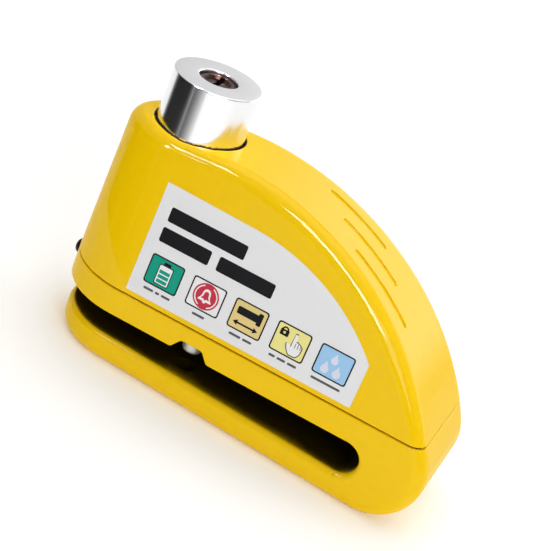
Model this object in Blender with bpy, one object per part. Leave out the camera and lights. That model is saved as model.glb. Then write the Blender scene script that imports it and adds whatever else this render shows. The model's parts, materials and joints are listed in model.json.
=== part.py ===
"""Alarm disc brake lock: a cast body with a disc slot, a push-down lock cylinder and a battery alarm.

Lengths are in millimetres in the lock's own frame: X runs from the cylinder's axis towards the closed
end of the slot, Z runs up along the cylinder's axis, and Z = 0 is the joint between base and housing.
The empty lock_frame leans that frame back by FOOT_TILT, so that the foot lies flat on the ground.
"""

import math

import bmesh
import bpy
from mathutils import Matrix, Vector

MM = 0.001

# Body
HALF_WIDTH = 19.5
DRAFT = 0.097
WALL = 2.4
SEAM = 0.45
BASE_TOP = -0.2
FOOT_TILT = math.radians(2.5)
FOOT_DROP = 21.67
ARCH_X, ARCH_Z, ARCH_R = 15.9, -40.66, 84.8
NECK_TOP = 43.3
END_R = 14.5
ARCH_EDGE_R, FOOT_EDGE_R = 4.0, 3.5
# Share of the draft that the nose loses straight ahead
NOSE_UPRIGHT = 0.75
LEG_NOSE = 17.4
FRAME_X = -36.5
FILLET_STEPS = 4
NOSE_STEPS = 24
WALL_LEVELS = (-12.0, -9.0)

# Disc slot, with the notch that shows the locking pin
SLOT_ROOF, SLOT_FLOOR = -7.4, -14.05
SLOT_END_X, SLOT_END_Z, SLOT_END_R = 71.6, -12.25, 4.85
NOTCH_X, NOTCH_TOP, NOTCH_BACK_Y = 24.1, -4.4, -6.4
NOTCH_HALF, NOTCH_MOUTH_HALF = 3.1, 5.4

# Lock cylinder
CYL_R, CYL_TOP, CYL_BOTTOM = 12.0, 58.0, 18.5
CYL_HOLE_R = 12.75
SLEEVE_INNER_R, SLEEVE_ROOF = 10.3, 1.6
BARREL_R, BARREL_BOTTOM = 10.0, 18.7
KEYHOLE_R, PLUG_R, PLUG_TOP, PLUG_BOTTOM = 5.3, 5.05, 57.2, 26.7
BARREL_BORE_R, WAFER_RELIEF_R = 5.35, 6.4
CAM_ROOM_R, CAM_ROOM_TOP = 7.6, 27.0
WAFER_LEVELS = (52.0, 47.5, 43.0, 38.5)
TRAVEL = 10.3

# Locking pin and its carrier
PIN_X, PIN_Y, PIN_R, PIN_TIP, PIN_TOP = 22.2, -10.5, 2.7, -10.3, 20.4
ROD_Y, ROD_R = 6.0, 1.8
CARRIER_BOTTOM, CARRIER_TOP, HUB_R = 14.5, 18.2, 11.4
TAP_Y = 8.8
GAP = 0.3

# Bolt that leaves the cylinder's side
BOLT_BOTTOM, BOLT_TOP, BOLT_HALF = 19.6, 22.4, 3.8
BOLT_TIP, BOLT_BACK = -11.7, 4.4
CRANK_X, CRANK_R = 2.0, 0.6
CRANK_WINDOW = ((1.1, -1.1), (3.3, 3.0))
KEEPER_X, KEEPER_THICK, KEEPER_TOP, KEEPER_HALF = -14.6, 2.0, 14.0, 5.2

# Alarm
BOARD_X0, BOARD_X1, BOARD_HALF, BOARD_Z = 30.5, 69.0, 12.5, 15.6
BOARD_THICK = 1.6
SIREN_X, SIREN_R = 51.3, 13.5
CELL_R, CELL_LENGTH, CELL_Y, CELL_Z, CELL_X0 = 5.75, 5.3, 6.2, 24.75, 38.7
HOUSING_SCREWS = ((-9.4, 11.2, 6.5), (-9.4, -11.2, 6.5), (73.0, 9.0, 14.0), (73.0, -9.0, 14.0))
BOARD_POSTS = ((33.2, 9.5), (33.2, -9.5), (67.6, 0.0))
SCREW_R, SCREW_HEAD_R = 1.5, 3.0

# Front label and the grooves on the arch as (y, first x, last x)
LABEL_LEFT, LABEL_RIGHT, LABEL_LOW, LABEL_HIGH = 2.0, 68.5, 1.7, 33.0
LABEL_ARC_X, LABEL_ARC_Z, LABEL_ARC_R = 26.3, -25.65, 58.15
GROOVES = ((7.4, 37.8, 55.5), (0.0, 45.3, 63.2), (-7.4, 52.6, 70.8))
GROOVE_DEPTH, GROOVE_HALF = 0.6, 0.55

MATERIALS = {
    "yellow_paint": ((0.93, 0.66, 0.01), 0.22, 0.0),
    "chrome": ((0.80, 0.80, 0.81), 0.08, 1.0),
    "satin_chrome": ((0.62, 0.62, 0.63), 0.30, 1.0),
    "brass": ((0.70, 0.52, 0.22), 0.30, 1.0),
    "steel": ((0.50, 0.50, 0.51), 0.32, 1.0),
    "spring_steel": ((0.38, 0.38, 0.40), 0.35, 1.0),
    "dark_bronze": ((0.09, 0.05, 0.04), 0.40, 1.0),
    "black_oxide": ((0.02, 0.02, 0.02), 0.45, 1.0),
    "rubber": ((0.02, 0.02, 0.02), 0.80, 0.0),
    "label": ((0.82, 0.82, 0.83), 0.35, 0.0),
    "board_green": ((0.03, 0.20, 0.08), 0.45, 0.0),
    "black_plastic": ((0.03, 0.03, 0.03), 0.45, 0.0),
    "white_plastic": ((0.75, 0.75, 0.72), 0.45, 0.0),
}


def clear_scene():
    for obj in list(bpy.data.objects):
        bpy.data.objects.remove(obj, do_unlink=True)


def material(name):
    found = bpy.data.materials.get(name)
    if found:
        return found
    colour, roughness, metallic = MATERIALS[name]
    made = bpy.data.materials.new(name)
    made.use_nodes = True
    shader = made.node_tree.nodes["Principled BSDF"]
    shader.inputs["Base Color"].default_value = (*colour, 1.0)
    shader.inputs["Roughness"].default_value = roughness
    shader.inputs["Metallic"].default_value = metallic
    made.diffuse_color = (*colour, 1.0)
    return made


def empty(name, parent, place=(0, 0, 0)):
    made = bpy.data.objects.new(name, None)
    bpy.context.scene.collection.objects.link(made)
    made.parent = parent
    made.location = Vector(place) * MM
    return made


def to_object(name, bm, finish, parent, origin=(0, 0, 0)):
    """A named object from a bmesh in millimetres, with its origin at the given point of the lock's frame."""
    bmesh.ops.remove_doubles(bm, verts=bm.verts[:], dist=1e-4)
    bmesh.ops.recalc_face_normals(bm, faces=bm.faces[:])
    bmesh.ops.transform(bm, matrix=Matrix.Scale(MM, 4) @ Matrix.Translation(-Vector(origin)), verts=bm.verts[:])
    mesh = bpy.data.meshes.new(name)
    bm.to_mesh(mesh)
    bm.free()
    mesh.shade_smooth()
    mesh.set_sharp_from_angle(angle=math.radians(35))
    made = bpy.data.objects.new(name, mesh)
    bpy.context.scene.collection.objects.link(made)
    if finish:
        mesh.materials.append(material(finish))
    made.parent = parent
    made.location = Vector(origin) * MM
    return made


def joined(*shapes):
    """One bmesh that holds several."""
    whole = bmesh.new()
    for shape in shapes:
        mesh = bpy.data.meshes.new("shape")
        shape.to_mesh(mesh)
        whole.from_mesh(mesh)
        bpy.data.meshes.remove(mesh)
        shape.free()
    return whole


def box(low, high):
    bm = bmesh.new()
    bmesh.ops.create_cube(bm, size=1.0)
    size = Vector(high) - Vector(low)
    centre = (Vector(high) + Vector(low)) / 2
    bmesh.ops.transform(bm, matrix=Matrix.Translation(centre) @ Matrix.Diagonal((*size, 1.0)), verts=bm.verts[:])
    return bm


def prism(outline, low, high, axis="z"):
    """An outline of 2-D points extruded along an axis: (x, y) along z, (x, z) along y, (y, z) along x."""
    place = {
        "z": lambda p, h: (p[0], p[1], h),
        "y": lambda p, h: (p[0], h, p[1]),
        "x": lambda p, h: (h, p[0], p[1]),
    }[axis]
    bm = bmesh.new()
    ends = [[bm.verts.new(place(p, h)) for p in outline] for h in (low, high)]
    for end in ends:
        bm.faces.new(end)
    for i in range(len(outline)):
        j = (i + 1) % len(outline)
        bm.faces.new((ends[0][i], ends[0][j], ends[1][j], ends[1][i]))
    bmesh.ops.recalc_face_normals(bm, faces=bm.faces[:])
    return bm


def circle(x, y, radius, steps=24, turn=0.0):
    angles = [turn + 2 * math.pi * i / steps for i in range(steps)]
    return [(x + radius * math.cos(a), y + radius * math.sin(a)) for a in angles]


def arc(x, y, radius, start, end, steps):
    """Points along an arc, with its angles in degrees."""
    angles = [math.radians(start + (end - start) * i / steps) for i in range(steps + 1)]
    return [(x + radius * math.cos(a), y + radius * math.sin(a)) for a in angles]


def rod(x, y, radius, low, high, steps=24):
    return prism(circle(x, y, radius, steps), low, high)


def lathe(profile, x=0.0, y=0.0, steps=32):
    """A closed profile of (radius, z) points turned about the vertical line at x, y."""
    bm = bmesh.new()
    rings = []
    for i in range(steps):
        a = 2 * math.pi * i / steps
        rings.append([bm.verts.new((x + r * math.cos(a), y + r * math.sin(a), z)) for r, z in profile])
    for i in range(steps):
        one, two = rings[i], rings[(i + 1) % steps]
        for j in range(len(profile)):
            k = (j + 1) % len(profile)
            if profile[j][0] == profile[k][0] == 0:
                continue
            bm.faces.new((one[j], one[k], two[k], two[j]))
    bmesh.ops.remove_doubles(bm, verts=bm.verts[:], dist=1e-5)
    bmesh.ops.recalc_face_normals(bm, faces=bm.faces[:])
    return bm


def hull_outline(circles):
    """The convex outline round several circles of (x, y, radius)."""
    points = sorted(p for x, y, r in circles for p in circle(x, y, r, 28))

    def half(run):
        kept = []
        for p in run:
            while len(kept) > 1:
                (ax, ay), (bx, by) = kept[-2], kept[-1]
                if (bx - ax) * (p[1] - ay) - (by - ay) * (p[0] - ax) > 1e-9:
                    break
                kept.pop()
            kept.append(p)
        return kept[:-1]

    return half(points) + half(points[::-1])


def boolean(target, operation, name, bm, parent):
    """Joins or cuts a helper solid, which stays in the scene as a wire guide."""
    helper = to_object(f"{target.name}_{name}", bm, None, parent)
    helper.display_type = "WIRE"
    helper.hide_render = True
    modifier = target.modifiers.new(name, "BOOLEAN")
    modifier.operation = operation
    modifier.solver = "EXACT"
    modifier.object = helper


def foot_z(x):
    return -FOOT_DROP - math.tan(FOOT_TILT) * x


def end_centre():
    """Centre of the arc that joins the arch to the foot."""
    x = 80.0
    for _ in range(20):
        z = foot_z(x) + END_R / math.cos(FOOT_TILT)
        x = ARCH_X + math.sqrt((ARCH_R - END_R) ** 2 - (z - ARCH_Z) ** 2)
    return x, foot_z(x) + END_R / math.cos(FOOT_TILT)


def side_outline(inset):
    """The side view's outline for x >= 0 as (x, z, normal angle, edge radius), from the foot to the top."""
    ex, ez = end_centre()
    join = math.atan2(ez - ARCH_Z, ex - ARCH_X)
    down = -math.pi / 2 - FOOT_TILT
    points = [(0.0, foot_z(0) + inset / math.cos(FOOT_TILT), down, FOOT_EDGE_R)]
    for i in range(13):
        t = i / 12
        a = down + (join - down) * t
        r = END_R - inset
        points.append((ex + r * math.cos(a), ez + r * math.sin(a), a, FOOT_EDGE_R + (ARCH_EDGE_R - FOOT_EDGE_R) * t))
    for i in range(1, 21):
        a = join + (math.pi / 2 - join) * i / 20
        r = ARCH_R - inset
        points.append((ARCH_X + r * math.cos(a), ARCH_Z + r * math.sin(a), a, ARCH_EDGE_R))
    top = ARCH_Z + ARCH_R
    for i in range(1, 6):
        t = 1 - i / 5
        z = NECK_TOP + (top - NECK_TOP) * t * t * (3 - 2 * t)
        slope = (top - NECK_TOP) * 6 * t * (1 - t) / ARCH_X
        a = math.pi / 2 + math.atan(slope)
        points.append((ARCH_X * t, z - inset, a, ARCH_EDGE_R))
    return points


def envelope(inset, draft):
    """The lock's outer shape, or the same shape inset, as one closed bmesh."""
    bm = bmesh.new()

    def half_width(z):
        return HALF_WIDTH - inset - draft * z

    def edge_run(x, z, angle, radius):
        radius = max(radius - inset, 1.0)
        run = []
        for j in range(FILLET_STEPS + 1):
            t = math.pi / 2 * j / FILLET_STEPS
            depth = radius * (1 - math.cos(t))
            px, pz = x - depth * math.cos(angle), z - depth * math.sin(angle)
            run.append((px, half_width(pz) - radius + radius * math.sin(t), pz))
        return run

    outline = side_outline(inset)
    runs = [edge_run(*point) for point in outline]
    for side in (-1, 1):
        grid = [[bm.verts.new((x, side * y, z)) for x, y, z in run] for run in runs]
        for one, two in zip(grid, grid[1:]):
            for j in range(FILLET_STEPS):
                bm.faces.new((one[j], one[j + 1], two[j + 1], two[j]))
        for one, two in zip(runs, runs[1:]):
            inner = [(one[0], 1), (two[0], 1), (two[0], 0), (one[0], 0)]
            bm.faces.new([bm.verts.new((x, side * y * reach, z)) for (x, y, z), reach in inner])
        seam = [bm.verts.new((0, side * half_width(z), z)) for z in reversed(WALL_LEVELS)]
        bm.faces.new([column[-1] for column in grid] + seam)
    # Round nose about the cylinder's axis
    foot, top = runs[0], runs[-1]
    wall = [(0, half_width(z), z) for z in WALL_LEVELS]
    section = [(0.0, foot[0][2], "foot")] + [(y, z, "foot") for _, y, z in foot]
    section += [(y, z, "wall") for _, y, z in wall] + [(y, z, "top") for _, y, z in reversed(top)]
    section += [(0.0, top[0][2], "top")]
    rings = []
    for i in range(NOSE_STEPS + 1):
        a = math.pi / 2 + math.pi * i / NOSE_STEPS
        ring = []
        for rho, z, part in section:
            shorten = LEG_NOSE / HALF_WIDTH if z < -10.5 and draft == 0 else 1.0
            ahead = draft * max(z, 0.0) * NOSE_UPRIGHT * math.cos(a) ** 2 if rho else 0.0
            x = (rho + ahead) * math.cos(a) * shorten
            lift = -math.tan(FOOT_TILT) * x if part == "foot" else 0.0
            ring.append(bm.verts.new((x, (rho + ahead) * math.sin(a), z + lift)))
        rings.append(ring)
    for one, two in zip(rings, rings[1:]):
        for j in range(len(section) - 1):
            bm.faces.new((one[j], one[j + 1], two[j + 1], two[j]))
    bmesh.ops.remove_doubles(bm, verts=bm.verts[:], dist=1e-4)
    bmesh.ops.recalc_face_normals(bm, faces=bm.faces[:])
    return bm


def sliced(bm, level, keep_above):
    """Keeps the part of a closed bmesh above or below a level, and caps it."""
    geometry = bm.verts[:] + bm.edges[:] + bm.faces[:]
    bmesh.ops.bisect_plane(
        bm,
        geom=geometry,
        dist=1e-6,
        plane_co=(0, 0, level),
        plane_no=(0, 0, 1),
        clear_inner=keep_above,
        clear_outer=not keep_above,
    )
    rim = [edge for edge in bm.edges if edge.is_boundary]
    bmesh.ops.holes_fill(bm, edges=rim, sides=0)
    bmesh.ops.recalc_face_normals(bm, faces=bm.faces[:])
    return bm


def plan_outline(inset, level=0.0, steps=NOSE_STEPS):
    """The body's outline in plan at the joint, inset from its outer wall."""
    half = HALF_WIDTH - inset
    end = ARCH_X + math.sqrt((ARCH_R - inset) ** 2 - (level - ARCH_Z) ** 2)
    corner = max(ARCH_EDGE_R - inset, 1.0)
    points = arc(0, 0, half, 90, 270, steps)
    points += arc(end - corner, -half + corner, corner, -90, 0, 5)
    points += arc(end - corner, half - corner, corner, 0, 90, 5)
    return points


def ring_prism(outer, inner, low, high):
    """A closed band between two outlines that have the same number of points."""
    bm = bmesh.new()
    loops = [[bm.verts.new((x, y, z)) for x, y in run] for run, z in
             ((outer, low), (outer, high), (inner, high), (inner, low))]
    count = len(outer)
    for one, two in zip(loops, loops[1:] + loops[:1]):
        for i in range(count):
            j = (i + 1) % count
            bm.faces.new((one[i], one[j], two[j], two[i]))
    bmesh.ops.recalc_face_normals(bm, faces=bm.faces[:])
    return bm


def make_base(frame):
    base = to_object("base_casting", sliced(envelope(0, 0), BASE_TOP, False), "yellow_paint", frame)
    slot = [(x, SLOT_FLOOR - math.tan(FOOT_TILT) * x) for x in (-40.0, SLOT_END_X)]
    slot += arc(SLOT_END_X, SLOT_END_Z, SLOT_END_R, -86, 90, 10)[1:-1]
    slot += [(SLOT_END_X, SLOT_ROOF), (-40.0, SLOT_ROOF)]
    boolean(base, "DIFFERENCE", "slot", prism(slot, -30, 30, "y"), frame)
    mouth = SLOT_ROOF - 1.0
    notch = [(NOTCH_X - NOTCH_MOUTH_HALF, mouth), (NOTCH_X - NOTCH_MOUTH_HALF, SLOT_ROOF)]
    notch += arc(NOTCH_X - NOTCH_HALF, NOTCH_TOP - 1.5, 1.5, 170, 90, 4)
    notch += arc(NOTCH_X + NOTCH_HALF, NOTCH_TOP - 1.5, 1.5, 90, 10, 4)
    notch += [(NOTCH_X + NOTCH_MOUTH_HALF, SLOT_ROOF), (NOTCH_X + NOTCH_MOUTH_HALF, mouth)]
    boolean(base, "DIFFERENCE", "notch", prism(notch, -30, NOTCH_BACK_Y, "y"), frame)
    posts = joined(*[rod(x, y, 2.4, -2.0, BOARD_Z - GAP, 16) for x, y in BOARD_POSTS])
    boolean(base, "UNION", "board_posts", posts, frame)
    groove = ring_prism(plan_outline(0.9), plan_outline(2.7), BASE_TOP - 1.5, 5.0)
    boolean(base, "DIFFERENCE", "gasket_groove", groove, frame)
    holes = [
        rod(PIN_X, PIN_Y, PIN_R + GAP, SLOT_FLOOR - 7.4, -0.5),
        rod(PIN_X, PIN_Y, 4.3, -4.0, 5.0),
        rod(PIN_X, ROD_Y, ROD_R + GAP, -4.4, 5.0, 16),
        rod(0, 0, 6.6, -3.2, 5.0, 32),
        box((KEEPER_X - GAP, -KEEPER_HALF - GAP, -3.9), (KEEPER_X + KEEPER_THICK + GAP, KEEPER_HALF + GAP, 5.0)),
        box((9.4, -5.4, -3.9), (16.6, 1.6, 5.0)),
    ]
    for x, y, _ in HOUSING_SCREWS:
        holes.append(lathe([(0, -9.0), (3.4, -9.0), (3.4, -4.6), (1.8, -4.6), (1.8, 5.0), (0, 5.0)], x, y, 16))
    for x, y in BOARD_POSTS:
        holes.append(rod(x, y, 1.1, BOARD_Z - 9.0, BOARD_Z + 2, 10))
    for number, hole in enumerate(holes):
        boolean(base, "DIFFERENCE", f"hole_{number}", hole, frame)
    end_hole = prism(circle(0, -3.7, 1.5, 16), -30, -11.5, "x")
    boolean(base, "DIFFERENCE", "end_hole", end_hole, frame)
    return base


def label_outline(inset):
    left, right, low = LABEL_LEFT + inset, LABEL_RIGHT - inset, LABEL_LOW + inset
    radius = LABEL_ARC_R - inset
    start = math.degrees(math.acos((right - LABEL_ARC_X) / radius))
    edge = arc(LABEL_ARC_X, LABEL_ARC_Z, radius, start, 90, 12)
    return [(left, low), (right, low)] + edge + [(left, LABEL_HIGH - inset)]


def on_front(outline, low, high):
    """A plate along the sloping front face; low and high are depths outwards from it."""
    lean = math.atan(DRAFT)
    bm = bmesh.new()
    ends = []
    for depth in (low, high):
        ends.append([bm.verts.new((x, -(HALF_WIDTH - DRAFT * z) - depth * math.cos(lean), z + depth * math.sin(lean)))
                     for x, z in outline])
    for end in ends:
        bm.faces.new(end)
    for i in range(len(outline)):
        j = (i + 1) % len(outline)
        bm.faces.new((ends[0][i], ends[0][j], ends[1][j], ends[1][i]))
    bmesh.ops.recalc_face_normals(bm, faces=bm.faces[:])
    return bm


def arch_groove(y, start_x, end_x):
    """A shallow groove with round ends along the arch."""
    first, last = [math.degrees(math.acos((x - ARCH_X) / ARCH_R)) for x in (start_x, end_x)]
    outer = arc(ARCH_X, ARCH_Z, ARCH_R + 4.0, last, first, 8)
    inner = arc(ARCH_X, ARCH_Z, ARCH_R - GROOVE_DEPTH, first - 0.6, last + 0.6, 8)
    return prism(outer + inner, y - GROOVE_HALF, y + GROOVE_HALF, "y")


def make_housing(frame):
    level = BASE_TOP + SEAM
    housing = to_object("upper_housing", sliced(envelope(0, DRAFT), level, True), "yellow_paint", frame)
    boolean(housing, "DIFFERENCE", "room", sliced(envelope(WALL, DRAFT), level - 5.0, True), frame)
    for number, (x, y, depth) in enumerate(HOUSING_SCREWS):
        height = depth + (3.8 if x > 0 else 1.5)
        boolean(housing, "UNION", f"boss_{number}", rod(x, y, 3.4 if x > 0 else 2.9, level, height, 16), frame)
        boolean(housing, "DIFFERENCE", f"pilot_{number}", rod(x, y, SCREW_R + GAP, -2.0, depth + 0.5, 14), frame)
    collar = [(13.3, 27.5), (14.6, 27.5), (14.6, 38.5), (13.7, 40.95), (13.3, 41.1)]
    boolean(housing, "UNION", "collar", lathe(collar, steps=32), frame)
    hole = prism(circle(0, 0, CYL_HOLE_R, 48, 0.04), 37.9, 60.0)
    boolean(housing, "DIFFERENCE", "cylinder_hole", hole, frame)
    boolean(housing, "DIFFERENCE", "label_seat", on_front(label_outline(-0.3), -0.35, 2.0), frame)
    for number, (y, start_x, end_x) in enumerate(GROOVES):
        boolean(housing, "DIFFERENCE", f"groove_{number}", arch_groove(y, start_x, end_x), frame)
    to_object("front_label", on_front(label_outline(0), -0.25, -0.02), "label", frame)
    gasket = ring_prism(plan_outline(1.2), plan_outline(2.4), BASE_TOP - 1.2, BASE_TOP + 0.15)
    to_object("housing_gasket", gasket, "rubber", frame)
    return housing


def screw(name, x, y, head_low, head_high, head_r, tip, frame, finish="steel", socket=1.2, shank=SCREW_R):
    """A machine screw pointing up or down, with a six-sided socket in its head."""
    up = tip > head_high
    face, under = (head_low, head_high) if up else (head_high, head_low)
    step = 0.35 if up else -0.35
    profile = [(0, face), (head_r - 0.35, face), (head_r, face + step), (head_r, under), (shank, under)]
    profile += [(shank, tip - 2 * step), (shank - 0.4, tip), (0, tip)]
    body = to_object(name, lathe(profile, x, y, 14), finish, frame)
    recess = prism(circle(x, y, socket, 6), face - 2 * step, face + 2 * step)
    boolean(body, "DIFFERENCE", "socket", recess, frame)
    return body


def make_casing_pieces(frame):
    for number, (x, y, depth) in enumerate(HOUSING_SCREWS, 1):
        screw(f"housing_screw_{number}", x, y, -7.1, -4.9, SCREW_HEAD_R, depth, frame)
    for number, (x, y) in enumerate(BOARD_POSTS, 1):
        top = BOARD_Z + BOARD_THICK + GAP
        screw(f"board_screw_{number}", x, y, top, top + 1.1, 1.9, BOARD_Z - 8.0, frame, "steel", 0.8, 0.8)
    head = [(0, 1.75), (1.1, 1.6), (1.9, 1.1), (2.2, 0.3), (2.2, 0.0), (1.2, 0.0), (1.2, -4.4), (0, -4.4)]
    bolt = lathe(head, steps=20)
    turn = Matrix.Translation((-19.85, 0, -3.7)) @ Matrix.Rotation(-math.pi / 2, 4, "Y")
    bmesh.ops.transform(bolt, matrix=turn, verts=bolt.verts[:])
    end_screw = to_object("end_screw", bolt, "black_oxide", frame)
    boolean(end_screw, "DIFFERENCE", "socket", prism(circle(0, -3.7, 0.9, 6), -23, -20.6, "x"), frame)
    collar = [(12.35, 28.0), (13.0, 28.0), (13.0, 35.6), (12.35, 35.6)]
    to_object("cylinder_bush", lathe(collar, steps=32), "black_plastic", frame)
    seal = [(12.25, 36.3), (12.6, 35.95), (13.0, 36.3), (13.0, 37.4), (12.6, 37.75), (12.25, 37.4)]
    to_object("cylinder_seal", lathe(seal, steps=32), "rubber", frame)
    keeper = box((KEEPER_X, -KEEPER_HALF, -3.6), (KEEPER_X + KEEPER_THICK, KEEPER_HALF, KEEPER_TOP))
    keeper = to_object("bolt_keeper", keeper, "steel", frame)
    low, high = BOLT_BOTTOM - TRAVEL - GAP, BOLT_TOP - TRAVEL + GAP
    window = box((KEEPER_X - 1, -BOLT_HALF - GAP, low), (KEEPER_X + KEEPER_THICK + 1, BOLT_HALF + GAP, high))
    boolean(keeper, "DIFFERENCE", "window", window, frame)
    to_object("guide_rod", rod(PIN_X, ROD_Y, ROD_R, -4.1, 33.0, 16), "steel", frame)
    bush = [(PIN_R + 0.15, -3.7), (4.0, -3.7), (4.0, 0.1), (5.0, 0.1), (5.0, 0.9), (PIN_R + 0.15, 0.9)]
    to_object("pin_bush", lathe(bush, PIN_X, PIN_Y, 24), "brass", frame)


def make_alarm(frame):
    outline = [(BOARD_X0, -BOARD_HALF + 2), (BOARD_X0 + 2, -BOARD_HALF), (BOARD_X1 - 5, -BOARD_HALF),
               (BOARD_X1, -BOARD_HALF + 5), (BOARD_X1, BOARD_HALF - 5), (BOARD_X1 - 5, BOARD_HALF),
               (BOARD_X0 + 2, BOARD_HALF), (BOARD_X0, BOARD_HALF - 2)]
    board = to_object("circuit_board", prism(outline, BOARD_Z, BOARD_Z + BOARD_THICK), "board_green", frame)
    holes = joined(*[rod(x, y, 1.1, BOARD_Z - 1, BOARD_Z + 4, 12) for x, y in BOARD_POSTS])
    boolean(board, "DIFFERENCE", "holes", holes, frame)
    top = BOARD_Z + BOARD_THICK + GAP
    to_object("controller_chip", box((59.5, -3.5, top), (64.5, 3.5, top + 1.5)), "black_plastic", frame)
    to_object("vibration_sensor", rod(62.5, -8.2, 2.4, top, top + 6.5, 16), "satin_chrome", frame)
    coil = [(0, top), (3.0, top), (3.0, top + 0.8), (2.1, top + 0.8), (2.1, top + 3.4), (3.0, top + 3.4),
            (3.0, top + 4.2), (0, top + 4.2)]
    to_object("step_up_coil", lathe(coil, 62.5, 8.2, 14), "black_plastic", frame)
    r = SIREN_R
    case = [(0, 0.8), (r, 0.8), (r, 13.2), (r - 1.1, 13.2), (r - 1.1, 8.0), (r - 2.1, 8.0), (r - 2.1, 2.0), (0, 2.0)]
    to_object("siren_case", lathe(case, SIREN_X, 0, 24), "black_plastic", frame)
    disc = [(0, 8.3), (r - 1.4, 8.3), (r - 1.4, 8.7), (r - 4.5, 8.7), (r - 4.5, 9.0), (0, 9.0)]
    to_object("siren_disc", lathe(disc, SIREN_X, 0, 24), "brass", frame)
    ring = [(3.2, 9.8), (r - 1.4, 9.8), (r - 1.4, 13.2), (r - 3.0, 13.2), (r - 3.0, 11.0), (3.2, 11.0)]
    to_object("siren_horn_ring", lathe(ring, SIREN_X, 0, 24), "black_plastic", frame)
    length = 3 * CELL_LENGTH + 2 * GAP
    x0, x1 = CELL_X0 - 2.2, CELL_X0 + length + 2.2
    tray = to_object("battery_tray", box((x0, -13.1, top), (x1, 13.1, top + 6.5)), "black_plastic", frame)
    room = box((x0 + 1.1, -12.1, top + 1.0), (x1 - 1.1, 12.1, top + 10))
    boolean(tray, "DIFFERENCE", "room", room, frame)
    number = 0
    for side in (-1, 1):
        for i in range(3):
            number += 1
            start = CELL_X0 + i * (CELL_LENGTH + GAP)
            cell = lathe([(0, 0), (CELL_R, 0), (CELL_R, 4.5), (CELL_R - 0.9, 4.7), (CELL_R - 0.9, 5.3), (0, 5.3)], steps=14)
            turn = Matrix.Translation((start, side * CELL_Y, CELL_Z)) @ Matrix.Rotation(math.pi / 2, 4, "Y")
            bmesh.ops.transform(cell, matrix=turn, verts=cell.verts[:])
            to_object(f"battery_cell_{number}", cell, "satin_chrome", frame)
    low, high = top + 1.3, CELL_Z + 3.0
    back = CELL_X0 + length + GAP
    to_object("battery_bridge_contact", box((back, -10, low), (back + 0.4, 10, high)), "spring_steel", frame)
    for name, side in (("battery_contact_plus", 1), ("battery_contact_minus", -1)):
        y0, y1 = sorted((side * 2.5, side * 10))
        contact = box((CELL_X0 - GAP - 0.4, y0, low), (CELL_X0 - GAP, y1, high))
        to_object(name, contact, "spring_steel", frame)
    switch = to_object("arming_switch", box((9.8, -5.0, -3.5), (16.2, 1.2, 2.6)), "black_plastic", frame)
    boolean(switch, "DIFFERENCE", "bore", rod(13.0, -1.9, 1.6, -0.6, 5.0, 16), frame)
    plunger_axis = empty("switch_plunger_axis", frame, (13.0, -1.9, 3.9))
    plunger = to_object("switch_plunger", rod(0, 0, 1.3, -3.4, 0.0, 16), "white_plastic", plunger_axis)
    plunger.location = (0, 0, 0)


def bolt_way():
    """The cutter for the bolt's way out through sleeve and barrel."""
    return box((-14, -BOLT_HALF - GAP, BOLT_BOTTOM - GAP), (-4, BOLT_HALF + GAP, BOLT_TOP + GAP))


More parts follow.
